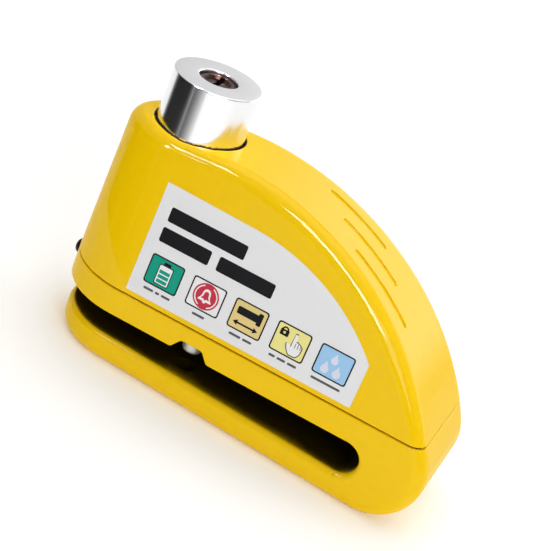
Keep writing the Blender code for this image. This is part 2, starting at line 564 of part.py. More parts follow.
def make_cylinder(frame):
    slide = empty("cylinder_slide_axis", frame, (0, 0, CYL_TOP))
    at = (0, 0, 0)
    local = empty("cylinder_frame", slide, (0, 0, -CYL_TOP))
    sleeve = [(KEYHOLE_R, CYL_TOP - 0.25), (KEYHOLE_R + 0.25, CYL_TOP), (CYL_R - 0.5, CYL_TOP),
              (CYL_R, CYL_TOP - 0.5), (CYL_R, CYL_BOTTOM), (SLEEVE_INNER_R, CYL_BOTTOM),
              (SLEEVE_INNER_R, CYL_TOP - SLEEVE_ROOF), (KEYHOLE_R, CYL_TOP - SLEEVE_ROOF)]
    sleeve = to_object("cylinder_sleeve", lathe(sleeve, steps=40), "chrome", local, at)
    boolean(sleeve, "DIFFERENCE", "bolt_way", bolt_way(), local)
    barrel = [(BARREL_BORE_R, 56.1), (BARREL_R, 56.1), (BARREL_R, BARREL_BOTTOM), (CAM_ROOM_R, BARREL_BOTTOM),
              (CAM_ROOM_R, CAM_ROOM_TOP), (BARREL_BORE_R, CAM_ROOM_TOP), (BARREL_BORE_R, 36.5),
              (WAFER_RELIEF_R, 36.5), (WAFER_RELIEF_R, 54.0), (BARREL_BORE_R, 54.0)]
    barrel = to_object("lock_barrel", lathe(barrel, steps=28), "brass", local, at)
    boolean(barrel, "DIFFERENCE", "bolt_way", bolt_way(), local)
    for number, y in enumerate((-TAP_Y, TAP_Y), 1):
        boolean(barrel, "DIFFERENCE", f"tap_{number}", rod(0, y, 0.9, 17.0, 27.0, 12), local)
    carrier = hull_outline(((0, 0, HUB_R), (PIN_X, PIN_Y, 4.3), (PIN_X, ROD_Y, 4.2)))
    carrier = to_object("pin_carrier", prism(carrier, CARRIER_BOTTOM, CARRIER_TOP), "steel", local, at)
    holes = [rod(PIN_X, PIN_Y, PIN_R + 0.15, 10, 22), rod(PIN_X, ROD_Y, ROD_R + 0.15, 10, 22, 16),
             rod(0, -TAP_Y, 1.0, 10, 22, 12), rod(0, TAP_Y, 1.0, 10, 22, 12)]
    boolean(carrier, "DIFFERENCE", "holes", joined(*holes), local)
    tip = [(0, PIN_TIP), (PIN_R - 0.7, PIN_TIP), (PIN_R, PIN_TIP + 0.7), (PIN_R, PIN_TOP), (0, PIN_TOP)]
    to_object("locking_pin", lathe(tip, PIN_X, PIN_Y, 24), "chrome", local, at)
    nut = to_object("pin_nut", prism(circle(PIN_X, PIN_Y, 4.1, 6), CARRIER_TOP + GAP, PIN_TOP - 0.2), "steel", local, at)
    boolean(nut, "DIFFERENCE", "bore", rod(PIN_X, PIN_Y, PIN_R + 0.15, 15, 25), local)
    for number, y in enumerate((-TAP_Y, TAP_Y), 1):
        head = CARRIER_BOTTOM - GAP
        screw(f"carrier_screw_{number}", 0, y, head - 1.2, head, 1.7, 25.0, local, "steel", 0.7, 0.7)
    make_plug(local)
    make_bolt(local)
    make_spring(local)


def make_plug(parent):
    turn = empty("key_plug_axis", parent, (0, 0, PLUG_TOP))
    local = empty("key_plug_frame", turn, (0, 0, -PLUG_TOP))
    profile = [(0, PLUG_BOTTOM), (PLUG_R, PLUG_BOTTOM), (PLUG_R, PLUG_TOP - 0.3), (PLUG_R - 0.3, PLUG_TOP),
               (0, PLUG_TOP)]
    plug = to_object("lock_plug", lathe(profile, steps=28), "dark_bronze", local)
    keyway = [(-0.75, -3.9), (0.75, -3.9), (0.75, 3.9), (-0.75, 3.9), (-0.75, 2.7), (-1.6, 2.7), (-1.6, 1.6), (-0.75, 1.6)]
    boolean(plug, "DIFFERENCE", "keyway", prism(keyway, 34.5, 60), local)
    for number, level in enumerate(WAFER_LEVELS, 1):
        window = box((-2.5, -7, level - 0.8), (2.5, 7, level + 0.8))
        boolean(plug, "DIFFERENCE", f"wafer_way_{number}", window, local)
        wafer_axis = empty(f"wafer_{number}_axis", local, (0, 5.7, level))
        wafer_frame = empty(f"wafer_{number}_frame", wafer_axis, (0, -5.7, -level))
        wafer = to_object(f"wafer_{number}", box((-2.2, -4.0, level - 0.5), (2.2, 5.7, level + 0.5)), "brass",
                          wafer_frame)
        gate = box((-1.1, -2.9 + 0.3 * number, level - 2), (1.1, 2.2 + 0.2 * number, level + 2))
        boolean(wafer, "DIFFERENCE", "key_gate", gate, wafer_frame)
    boolean(plug, "DIFFERENCE", "cam_tap", rod(0, 0, 1.1, 20, 31, 12), local)
    cam = to_object("plug_cam", rod(0, 0, 4.6, 24.2, PLUG_BOTTOM - GAP, 20), "steel", local)
    boolean(cam, "UNION", "crank", rod(CRANK_X, 0, CRANK_R, BOLT_BOTTOM + 0.4, 25.0, 12), local)
    boolean(cam, "DIFFERENCE", "bore", rod(0, 0, 1.1, 23.5, 30, 12), local)
    profile = [(0, 23.1), (1.0, 23.1), (1.0, 23.9), (0.8, 23.9), (0.8, 30.5), (0, 30.5)]
    to_object("cam_screw", lathe(profile, steps=16), "steel", local)


def make_bolt(parent):
    axis = empty("bolt_slide_axis", parent, (BOLT_TIP, 0, BOLT_BOTTOM))
    local = empty("bolt_frame", axis, (-BOLT_TIP, 0, -BOLT_BOTTOM))
    blade = box((BOLT_TIP, -BOLT_HALF, BOLT_BOTTOM), (BOLT_BACK, BOLT_HALF, BOLT_TOP))
    bolt = to_object("side_bolt", blade, "steel", local)
    (x0, y0), (x1, y1) = CRANK_WINDOW
    boolean(bolt, "DIFFERENCE", "crank_window", box((x0, y0, BOLT_BOTTOM - 1), (x1, y1, BOLT_TOP + 1)), local)


def make_spring(parent):
    """The return spring, a helix of round wire with closed ends."""
    wire, radius, low, high, turns, steps = 0.55, 5.3, -2.85, CARRIER_BOTTOM - GAP, 5, 12
    bm = bmesh.new()
    count = turns * steps
    rings = []
    for i in range(count + 1):
        t = i / count
        a = 2 * math.pi * turns * t
        z = low + wire + (high - low - 2 * wire) * t
        centre = Vector((radius * math.cos(a), radius * math.sin(a), z))
        outward = Vector((math.cos(a), math.sin(a), 0))
        ring = []
        for j in range(6):
            b = 2 * math.pi * j / 6
            ring.append(bm.verts.new(centre + wire * (outward * math.cos(b) + Vector((0, 0, math.sin(b))))))
        rings.append(ring)
    for one, two in zip(rings, rings[1:]):
        for j in range(6):
            k = (j + 1) % 6
            bm.faces.new((one[j], one[k], two[k], two[j]))
    bm.faces.new(rings[0])
    bm.faces.new(rings[-1])
    to_object("return_spring", bm, "spring_steel", parent)


def main():
    clear_scene()
    frame = empty("lock_frame", None)
    frame.rotation_euler = (0, -FOOT_TILT, 0)
    lift = FOOT_DROP * math.cos(FOOT_TILT)
    frame.location = (FRAME_X * MM, 0, lift * MM)
    make_base(frame)
    make_housing(frame)
    make_casing_pieces(frame)
    make_alarm(frame)
    make_cylinder(frame)
    bpy.context.view_layer.update()


main()
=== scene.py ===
"""Looks of the alarm disc brake lock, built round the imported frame.

Shapes are worked out in millimetres in the lock's own frame: X runs from the cylinder's axis towards the
closed end of the slot, Z up along the cylinder, and Z = 0 is the joint between base and housing.
"""

import json
import math

import bmesh
import bpy
import numpy as np
from mathutils import Matrix, Quaternion, Vector


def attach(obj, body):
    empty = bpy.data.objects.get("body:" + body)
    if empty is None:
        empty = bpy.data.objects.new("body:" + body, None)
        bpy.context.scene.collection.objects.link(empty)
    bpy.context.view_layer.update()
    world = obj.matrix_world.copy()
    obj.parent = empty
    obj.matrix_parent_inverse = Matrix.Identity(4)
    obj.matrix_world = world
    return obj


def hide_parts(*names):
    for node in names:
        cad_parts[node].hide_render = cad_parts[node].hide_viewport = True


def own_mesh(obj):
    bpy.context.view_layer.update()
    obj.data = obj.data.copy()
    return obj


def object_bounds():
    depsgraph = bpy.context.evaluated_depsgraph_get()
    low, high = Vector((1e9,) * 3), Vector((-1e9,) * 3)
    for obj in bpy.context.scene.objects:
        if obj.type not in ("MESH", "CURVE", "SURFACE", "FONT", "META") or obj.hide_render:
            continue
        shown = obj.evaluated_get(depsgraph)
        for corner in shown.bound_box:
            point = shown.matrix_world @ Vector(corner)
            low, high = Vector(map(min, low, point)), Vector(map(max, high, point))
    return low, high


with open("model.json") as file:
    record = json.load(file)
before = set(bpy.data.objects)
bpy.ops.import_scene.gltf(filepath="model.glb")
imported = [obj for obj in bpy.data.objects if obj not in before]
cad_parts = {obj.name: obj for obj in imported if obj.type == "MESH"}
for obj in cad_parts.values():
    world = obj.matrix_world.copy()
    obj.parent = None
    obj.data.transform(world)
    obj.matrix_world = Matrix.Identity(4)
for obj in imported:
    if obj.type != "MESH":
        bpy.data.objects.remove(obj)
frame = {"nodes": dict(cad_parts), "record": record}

MM = 0.001
CAD_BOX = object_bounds()
JOINTS = {joint["name"]: joint for joint in frame["record"]["behaviour"]["joints"]}

# Outer shape, as in the CAD
HALF_WIDTH, DRAFT, WALL = 19.5, 0.097, 2.4
BASE_TOP, HOUSING_LOW = -0.2, 0.25
FOOT_TILT, FOOT_DROP = math.radians(2.5), 21.67
ARCH_X, ARCH_Z, ARCH_R = 15.9, -40.66, 84.8
NECK_TOP = 43.3
END_R, ARCH_EDGE_R, FOOT_EDGE_R = 14.5, 4.0, 3.5
NOSE_UPRIGHT = 0.75
LEG_NOSE, LEG_LEVEL = 17.4, -10.5
SLOT_ROOF, SLOT_FLOOR = -7.4, -14.05
SLOT_END_X, SLOT_END_Z, SLOT_END_R = 71.6, -12.25, 4.85
NOTCH_X, NOTCH_TOP, NOTCH_BACK_Y, NOTCH_HALF, NOTCH_MOUTH_HALF = 24.1, -4.4, -6.4, 3.1, 5.4
CYL_R, CYL_TOP, CYL_BOTTOM, CYL_HOLE_R = 12.0, 58.0, 18.5, 12.6
SLEEVE_INNER_R, SLEEVE_ROOF, KEYHOLE_R = 10.3, 1.6, 5.3
PLUG_R, PLUG_TOP, PLUG_BOTTOM = 5.05, 57.2, 26.7
WAFER_LEVELS = (52.0, 47.5, 43.0, 38.5)
PIN_X, PIN_Y, PIN_R, PIN_TIP, PIN_TOP = 22.2, -10.5, 2.7, -10.3, 20.4
ROD_Y, ROD_R = 6.0, 1.8
HOUSING_SCREWS = ((-9.4, 11.2, 6.5), (-9.4, -11.2, 6.5), (73.0, 9.0, 14.0), (73.0, -9.0, 14.0))
BOARD_POSTS = ((33.2, 9.5), (33.2, -9.5), (67.6, 0.0))
GROOVES = ((7.4, 37.8, 55.5), (0.0, 45.3, 63.2), (-7.4, 52.6, 70.8))
GROOVE_DEPTH, GROOVE_HALF = 0.5, 0.85
LABEL_LEFT, LABEL_RIGHT, LABEL_LOW, LABEL_HIGH = 2.0, 68.5, 1.7, 33.0
LABEL_ARC_X, LABEL_ARC_Z, LABEL_ARC_R = 26.3, -25.65, 58.15

# Camera and light
CAMERA_AT = (0.07619, -0.40286, 0.23712)
CAMERA_LOOKS_AT = (-0.00438, 0.00112, 0.03906)
CAMERA_ROLL = math.radians(25.06)
CAMERA_LENS, CAMERA_SHIFT_Y = 113.0, -0.006
WORLD_TONE = 0.9


# The lock's frame, from the key plug's axis

def lock_matrix():
    joint = JOINTS["key_turn"]
    up = Vector(joint["axis"]).normalized()
    along = Vector((up.z, 0, -up.x))
    origin = Vector(joint["pos_m"]) - up * PLUG_TOP * MM
    turn = Matrix((along, (0, 1, 0), up)).transposed().to_4x4()
    return Matrix.Translation(origin) @ turn @ Matrix.Scale(MM, 4)


LOCK = lock_matrix()


# Materials

def shader_of(material):
    return material.node_tree.nodes["Principled BSDF"]


def surface(name, colour, roughness, metallic=0.0, grain=400.0, stretch=(1, 1, 1), relief=0.00001,
            tint=0.05, spread=0.06, **sockets):
    """A material whose colour, roughness and relief vary with a fine noise fixed to the piece."""
    material = bpy.data.materials.new(name)
    material.use_nodes = True
    nodes, links = material.node_tree.nodes, material.node_tree.links
    shader = shader_of(material)
    shader.inputs["Metallic"].default_value = metallic
    for socket, value in sockets.items():
        shader.inputs[socket.replace("_", " ")].default_value = value
    place = nodes.new("ShaderNodeTexCoord")
    scaled = nodes.new("ShaderNodeMapping")
    scaled.inputs["Scale"].default_value = stretch
    links.new(place.outputs["Object"], scaled.inputs["Vector"])
    noise = nodes.new("ShaderNodeTexNoise")
    noise.inputs["Scale"].default_value = grain
    noise.inputs["Detail"].default_value = 4.0
    links.new(scaled.outputs["Vector"], noise.inputs["Vector"])
    ramp = nodes.new("ShaderNodeValToRGB")
    low, high = ramp.color_ramp.elements
    low.position, high.position = 0.3, 0.7
    low.color = (*[c * (1 - tint) for c in colour], 1)
    high.color = (*[min(c * (1 + tint), 1) for c in colour], 1)
    links.new(noise.outputs["Fac"], ramp.inputs["Fac"])
    links.new(ramp.outputs["Color"], shader.inputs["Base Color"])
    rough = nodes.new("ShaderNodeMapRange")
    rough.inputs["From Min"].default_value = 0.3
    rough.inputs["From Max"].default_value = 0.7
    rough.inputs["To Min"].default_value = max(roughness - spread, 0.02)
    rough.inputs["To Max"].default_value = roughness + spread
    links.new(noise.outputs["Fac"], rough.inputs["Value"])
    links.new(rough.outputs["Result"], shader.inputs["Roughness"])
    bump = nodes.new("ShaderNodeBump")
    bump.inputs["Strength"].default_value = 1.0
    bump.inputs["Distance"].default_value = relief
    links.new(noise.outputs["Fac"], bump.inputs["Height"])
    links.new(bump.outputs["Normal"], shader.inputs["Normal"])
    return material


def board_surface():
    """Solder mask over copper: lighter tracks in a darker green, from a brick pattern."""
    material = surface("board_mask", (0.02, 0.16, 0.06), 0.4, grain=900.0, Coat_Weight=0.4)
    nodes, links = material.node_tree.nodes, material.node_tree.links
    bricks = nodes.new("ShaderNodeTexBrick")
    bricks.inputs["Color1"].default_value = (0.02, 0.17, 0.06, 1)
    bricks.inputs["Color2"].default_value = (0.02, 0.13, 0.05, 1)
    bricks.inputs["Mortar"].default_value = (0.06, 0.32, 0.12, 1)
    bricks.inputs["Scale"].default_value = 260.0
    bricks.inputs["Mortar Size"].default_value = 0.03
    links.new(nodes["Mapping"].outputs["Vector"], bricks.inputs["Vector"])
    links.new(bricks.outputs["Color"], shader_of(material).inputs["Base Color"])
    return material


def paint_shade_in_recesses(material, shut, clear, reach=0.02, darkest=0.025):
    """Darkens the colour and the gloss deep in a recess: painted shade, set by how little open sky a point sees.
    """
    nodes, links = material.node_tree.nodes, material.node_tree.links
    shader = shader_of(material)
    open_air = nodes.new("ShaderNodeAmbientOcclusion")
    open_air.samples = 24
    open_air.only_local = True
    open_air.inputs["Distance"].default_value = reach
    depth = nodes.new("ShaderNodeMapRange")
    depth.interpolation_type = "SMOOTHSTEP"
    depth.inputs["From Min"].default_value = shut
    depth.inputs["From Max"].default_value = clear
    depth.inputs["To Min"].default_value = darkest
    depth.inputs["To Max"].default_value = 1.0
    links.new(open_air.outputs["AO"], depth.inputs["Value"])
    # Painted shade: the colour and the coat fall towards darkest where little sky is open.
    tone = nodes.new("ShaderNodeVectorMath")
    tone.operation = "SCALE"
    links.new(nodes["Color Ramp"].outputs["Color"], tone.inputs[0])
    links.new(depth.outputs["Result"], tone.inputs["Scale"])
    links.new(tone.outputs["Vector"], shader.inputs["Base Color"])
    gloss = nodes.new("ShaderNodeMath")
    gloss.operation = "MULTIPLY"
    gloss.inputs[1].default_value = shader.inputs["Coat Weight"].default_value
    links.new(depth.outputs["Result"], gloss.inputs[0])
    links.new(gloss.outputs["Value"], shader.inputs["Coat Weight"])


BRUSHED = (1, 1, 0.05)


def yellow(name, shut, clear):
    """Glossy paint with painted shade: recesses with a sky share from shut to clear go from dark to the full
    colour.
    """
    material = surface(name, (0.91, 0.575, 0.001), 0.34, grain=450.0, relief=0.0000015, tint=0.012,
                       spread=0.04, Specular_IOR_Level=0.0, Coat_Weight=0.36, Coat_Roughness=0.035)
    paint_shade_in_recesses(material, shut, clear)
    return material


# Painted shade in recesses: strong on the base, where it darkens the slot, and weak on the housing, so that its
# grooves stay light.
BASE_YELLOW = yellow("yellow_paint_base", 0.43, 0.64)
YELLOW = yellow("yellow_paint", 0.10, 0.42)
CHROME = surface("chrome_plate", (0.86, 0.86, 0.87), 0.17, 1.0, 900.0, BRUSHED, 0.000002, 0.03, 0.04)
# Near-black wall of the cylinder's hole: painted shade for the gap round the chrome sleeve.
BORE_GAP_SHADE = surface("painted_gap_shade", (0.02, 0.014, 0.008), 0.6, grain=1500.0, tint=0.2)
GROUND = surface("ground_steel", (0.90, 0.90, 0.91), 0.46, 1.0, 900.0, BRUSHED, 0.000002, 0.04, 0.05)
SATIN = surface("satin_face", (0.60, 0.60, 0.61), 0.42, 1.0, 2500.0, relief=0.000004)
BRONZE = surface("dark_bronze", (0.055, 0.026, 0.022), 0.36, 1.0, 1500.0, relief=0.00002, tint=0.3)
BLACK_OXIDE = surface("black_oxide", (0.015, 0.015, 0.016), 0.38, 1.0, 1200.0)
FILM = surface("label_film", (0.79, 0.79, 0.80), 0.42, grain=3000.0, relief=0.000002, tint=0.015,
               Specular_IOR_Level=0.15)
CAD_FINISHES = {
    "yellow_paint": YELLOW,
    "label_film": FILM,
    "rubber": surface("rubber_seal", (0.018, 0.018, 0.018), 0.75, grain=2500.0, relief=0.00003, tint=0.2),
    "steel": surface("zinc_steel", (0.52, 0.52, 0.54), 0.32, 1.0, 900.0, BRUSHED),
    "black_oxide": BLACK_OXIDE,
    "black_plastic": surface("black_plastic", (0.022, 0.022, 0.024), 0.5, grain=2200.0, relief=0.00002,
                             tint=0.15),
    "board_green": board_surface(),
    "brass": surface("turned_brass", (0.70, 0.50, 0.20), 0.28, 1.0, 900.0, BRUSHED),
    "cell_steel": surface("nickel_can", (0.64, 0.63, 0.60), 0.24, 1.0, 700.0, BRUSHED),
    "spring_steel": surface("spring_steel", (0.36, 0.36, 0.38), 0.34, 1.0, 1400.0),
    "white_plastic": surface("white_plastic", (0.74, 0.74, 0.70), 0.42, grain=2200.0, relief=0.00001,
                             tint=0.03),
    "chrome": CHROME,
    "dark_bronze": BRONZE,
}


def ink(name, colour):
    return surface(f"ink_{name}", colour, 0.42, grain=3000.0, relief=0.000002, tint=0.02,
                   Specular_IOR_Level=0.1)


BLACK_INK = ink("black", (0.008, 0.008, 0.010))
GREY_INK = ink("grey", (0.10, 0.10, 0.11))
WHITE_INK = ink("white", (0.84, 0.84, 0.85))
TEAL_INK = ink("teal", (0.005, 0.33, 0.22))
RED_INK = ink("red", (0.56, 0.035, 0.065))
TAN_INK = ink("tan", (0.76, 0.60, 0.24))
PALE_INK = ink("pale_yellow", (0.84, 0.77, 0.28))
BLUE_INK = ink("blue", (0.34, 0.58, 0.84))
DROP_INK = ink("drop", (0.68, 0.72, 0.84))


# Making pieces

def finished(name, mesh, materials, body, replaced=(), normals=None):
    """Places a mesh made in the lock's frame, and says what it rides on and stands for."""
    mesh.transform(LOCK)
    points = np.empty(len(mesh.vertices) * 3, np.float32)
    mesh.vertices.foreach_get("co", points)
    mesh.vertices.foreach_set("co", np.clip(points.reshape(-1, 3), *CAD_BOX).ravel())
    mesh.shade_smooth()
    if normals is None:
        mesh.set_sharp_from_angle(angle=math.radians(32))
    else:
        turn = np.array(LOCK.to_3x3()) / MM
        mesh.normals_split_custom_set_from_vertices((normals @ turn.T).tolist())
    for material in materials:
        mesh.materials.append(material)
    piece = bpy.data.objects.new(name, mesh)
    bpy.context.scene.collection.objects.link(piece)
    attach(piece, body)
    if replaced:
        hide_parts(*replaced)
    return piece


def mesh_of(name, bm):
    bmesh.ops.remove_doubles(bm, verts=bm.verts[:], dist=1e-4)
    bmesh.ops.recalc_face_normals(bm, faces=bm.faces[:])
    mesh = bpy.data.meshes.new(name)
    bm.to_mesh(mesh)
    bm.free()
    return mesh


def rounded(points, radius, steps=5):
    """A closed outline with its corners rounded off."""
    made = []
    for i, (x, y) in enumerate(points):
        corner = Vector((x, y))
        ends = []
        for other in (points[i - 1], points[(i + 1) % len(points)]):
            way = Vector(other) - corner
            ends.append(corner + way.normalized() * min(radius, way.length * 0.5))
        for j in range(steps + 1):
            t = j / steps
            made.append(tuple(ends[0] * (1 - t) ** 2 + corner * 2 * t * (1 - t) + ends[1] * t * t))
    return made


def arc(x, y, radius, start, end, steps):
    """Points along an arc, with its angles in degrees."""
    angles = [math.radians(start + (end - start) * i / steps) for i in range(steps + 1)]
    return [(x + radius * math.cos(a), y + radius * math.sin(a)) for a in angles]


def lathe(profile, x=0.0, y=0.0, steps=96):
    """A closed profile of (radius, z) points turned about the vertical line at x, y."""
    bm = bmesh.new()
    rings = []
    for i in range(steps):
        a = 2 * math.pi * i / steps
        rings.append([bm.verts.new((x + r * math.cos(a), y + r * math.sin(a), z)) for r, z in profile])
    for one, two in zip(rings, rings[1:] + rings[:1]):
        for j in range(len(profile)):
            k = (j + 1) % len(profile)
            if profile[j][0] > 0 or profile[k][0] > 0:
                bm.faces.new((one[j], one[k], two[k], two[j]))
    return bm


def prism(outline, low, high, place=lambda p, h: (p[0], p[1], h)):
    """An outline extruded from low to high; place turns an outline's point and a height into a position."""
    bm = bmesh.new()
    ends = [[bm.verts.new(place(p, h)) for p in outline] for h in (low, high)]
    for end in ends:
        bm.faces.new(end)
    for i in range(len(outline)):
        j = (i + 1) % len(outline)
        bm.faces.new((ends[0][i], ends[0][j], ends[1][j], ends[1][i]))
    return bm


def box(low, high):
    (x0, y0, z0), (x1, y1, z1) = low, high
    return prism([(x0, y0), (x1, y0), (x1, y1), (x0, y1)], z0, z1)


def cut(mesh, cutters):
    """The mesh with each cutter's solid taken away."""
    body = bpy.data.objects.new("body", mesh)
    bpy.context.scene.collection.objects.link(body)
    helpers = []
    for cutter in cutters:
        helper = bpy.data.objects.new("cutter", mesh_of("cutter", cutter))
        bpy.context.scene.collection.objects.link(helper)
        modifier = body.modifiers.new("cut", "BOOLEAN")
        modifier.solver = "EXACT"
        modifier.object = helper
        helpers.append(helper)
    bpy.context.view_layer.update()
    graph = bpy.context.evaluated_depsgraph_get()
    made = bpy.data.meshes.new_from_object(body.evaluated_get(graph))
    for done in (body, *helpers):
        bpy.data.objects.remove(done, do_unlink=True)
    return made


# Shells as distance fields, negative inside the metal

def meet(a, b, radius):
    """What lies inside both fields, with the edge between them rounded."""
    outside = np.hypot(np.maximum(a + radius, 0), np.maximum(b + radius, 0))
    return np.minimum(np.maximum(a, b), -radius) + outside


def foot_z(x):
    return -FOOT_DROP - math.tan(FOOT_TILT) * x


def end_centre():
    """Centre of the arc that joins the arch to the foot."""
    x = 80.0
    for _ in range(20):
        z = foot_z(x) + END_R / math.cos(FOOT_TILT)
        x = ARCH_X + math.sqrt((ARCH_R - END_R) ** 2 - (z - ARCH_Z) ** 2)
    return x, z


END_X, END_Z = end_centre()
END_START = -math.pi / 2 - FOOT_TILT
END_STOP = math.atan2(END_Z - ARCH_Z, END_X - ARCH_X)


def envelope(x, y, z, draft, inset=0.0):
    """The lock's outer shape, or the same shape inset."""
    shorten = np.where((z < LEG_LEVEL) & (draft == 0), HALF_WIDTH / LEG_NOSE, 1.0)
    across = np.where(x < 0, np.hypot(x * shorten, y), np.abs(y))
    ahead = np.where(x < 0, -x / np.maximum(np.hypot(x, y), 0.01), 0)
    side = across - (HALF_WIDTH - draft * (z - NOSE_UPRIGHT * np.maximum(z, 0) * ahead ** 2))
    rise = np.clip(x / ARCH_X, 0, 1)
    neck = z - NECK_TOP - (ARCH_Z + ARCH_R - NECK_TOP) * rise * rise * (3 - 2 * rise)
    crown = np.where(x < ARCH_X, neck, np.hypot(x - ARCH_X, z - ARCH_Z) - ARCH_R)
    foot = (foot_z(x) - z) * math.cos(FOOT_TILT)
    angle = np.arctan2(z - END_Z, x - END_X)
    turn = (angle - END_START) / (END_STOP - END_START)
    in_end = (turn > 0) & (turn < 1)
    outline = np.where(in_end, np.hypot(x - END_X, z - END_Z) - END_R, np.maximum(crown, foot))
    blend = np.where(in_end, turn, crown > foot)
    edge = FOOT_EDGE_R + (ARCH_EDGE_R - FOOT_EDGE_R) * blend
    return meet(side + inset, outline + inset, np.maximum(edge - inset, 1.0))


def post(x, y, z, at, radius, low, high):
    return np.maximum(np.hypot(x - at[0], y - at[1]) - radius, np.maximum(low - z, z - high))


def block(x, y, z, low, high):
    fields = [np.maximum(a - v, v - b) for v, a, b in zip((x, y, z), low, high)]
    return np.maximum(np.maximum(fields[0], fields[1]), fields[2])


def housing_field(x, y, z):
    outer = envelope(x, y, z, DRAFT)
    field = np.maximum(outer, -envelope(x, y, z, DRAFT, WALL))
    for bx, by, depth in HOUSING_SCREWS:
        radius, rise = (3.4, 3.8) if bx > 0 else (2.9, 1.5)
        field = np.minimum(field, post(x, y, z, (bx, by), radius, 0, depth + rise))
        field = np.maximum(field, -post(x, y, z, (bx, by), 1.8, -5, depth + 0.5))
    ring = np.hypot(x, y)
    collar = np.maximum(np.maximum(np.maximum(ring - 14.6, 13.3 - ring), 27.5 - z), outer + 0.8)
    field = np.minimum(field, collar)
    field = meet(field, -np.maximum(ring - CYL_HOLE_R, 37.9 - z), 0.3)
    field = meet(field, HOUSING_LOW - z, 0.3)
    arch = np.hypot(x - ARCH_X, z - ARCH_Z) - ARCH_R
    along = np.arcsin(np.clip((x - ARCH_X) / (arch + ARCH_R), -1, 1)) * ARCH_R
    for gy, first, last in GROOVES:
        a, b = [math.asin((end - ARCH_X) / ARCH_R) * ARCH_R for end in (first, last)]
        past = np.maximum(np.abs(along - (a + b) / 2) - (b - a) / 2, 0)
        groove = np.maximum(np.hypot(past, y - gy) - GROOVE_HALF, -arch - GROOVE_DEPTH)
        field = meet(field, -groove, 0.15)
    return field


def base_field(x, y, z):
    field = meet(envelope(x, y, z, 0), z - BASE_TOP, 0.3)
    floor = SLOT_FLOOR - math.tan(FOOT_TILT) * x
    slot = np.where(x < SLOT_END_X, np.maximum(z - SLOT_ROOF, floor - z),
                    np.hypot(x - SLOT_END_X, z - SLOT_END_Z) - SLOT_END_R)
    height = np.clip((z - floor) / (SLOT_ROOF - floor), 0, 1)
    field = meet(field, -slot, 1.9 - 1.4 * height)
    slope = (NOTCH_MOUTH_HALF - NOTCH_HALF) / (NOTCH_TOP - SLOT_ROOF)
    flank = (np.abs(x - NOTCH_X) - NOTCH_HALF - slope * (NOTCH_TOP - z)) / math.hypot(1, slope)
    notch = meet(flank, z - NOTCH_TOP, 0.5)
    notch = np.maximum(np.maximum(notch, y - NOTCH_BACK_Y), SLOT_ROOF - 4 - z)
    field = meet(field, -notch, 0.45)
    for at in BOARD_POSTS:
        field = np.minimum(field, post(x, y, z, at, 2.4, -2, 15.3))
    holes = [post(x, y, z, (PIN_X, PIN_Y), PIN_R + 0.3, -21.45, 5)]
    holes.append(post(x, y, z, (PIN_X, PIN_Y), 4.3, -4, 5))
    holes.append(post(x, y, z, (PIN_X, ROD_Y), ROD_R + 0.3, -4.4, 5))
    holes.append(post(x, y, z, (0, 0), 6.6, -3.2, 5))
    holes.append(block(x, y, z, (-14.9, -5.5, -3.9), (-12.3, 5.5, 5)))
    holes.append(block(x, y, z, (9.4, -5.4, -3.9), (16.6, 1.6, 5)))
    for bx, by, _ in HOUSING_SCREWS:
        holes.append(post(x, y, z, (bx, by), 3.4, -9, -4.6))
        holes.append(post(x, y, z, (bx, by), 1.8, -9, 5))
    for at in BOARD_POSTS:
        holes.append(post(x, y, z, at, 1.1, 6.6, 20))
    holes.append(np.maximum(np.hypot(y, z + 3.7) - 1.5, x + 11.5))
    rim = envelope(x, y, np.full_like(z, BASE_TOP), 0)
    holes.append(np.maximum(np.maximum(rim + 0.9, -rim - 2.7), BASE_TOP - 1.5 - z))
    for hole in holes:
        field = meet(field, -hole, 0.15)
    return field


def ticks(low, high, coarse, fine, spans):
    """Grid positions from low to high, closer together within the spans."""
    made = [low]
    while made[-1] < high:
        near = any(a <= made[-1] < b for a, b in spans)
        made.append(made[-1] + (fine if near else coarse))
    return np.array(made)


def gradient(field, points):
    """Unit vectors across the field at the points, pointing out of the metal."""
    slope = [field(*(points + step).T) - field(*(points - step).T) for step in np.eye(3) * 0.02]
    slope = np.stack(slope, axis=1)
    return slope / np.maximum(np.linalg.norm(slope, axis=1), 0.01)[:, None]


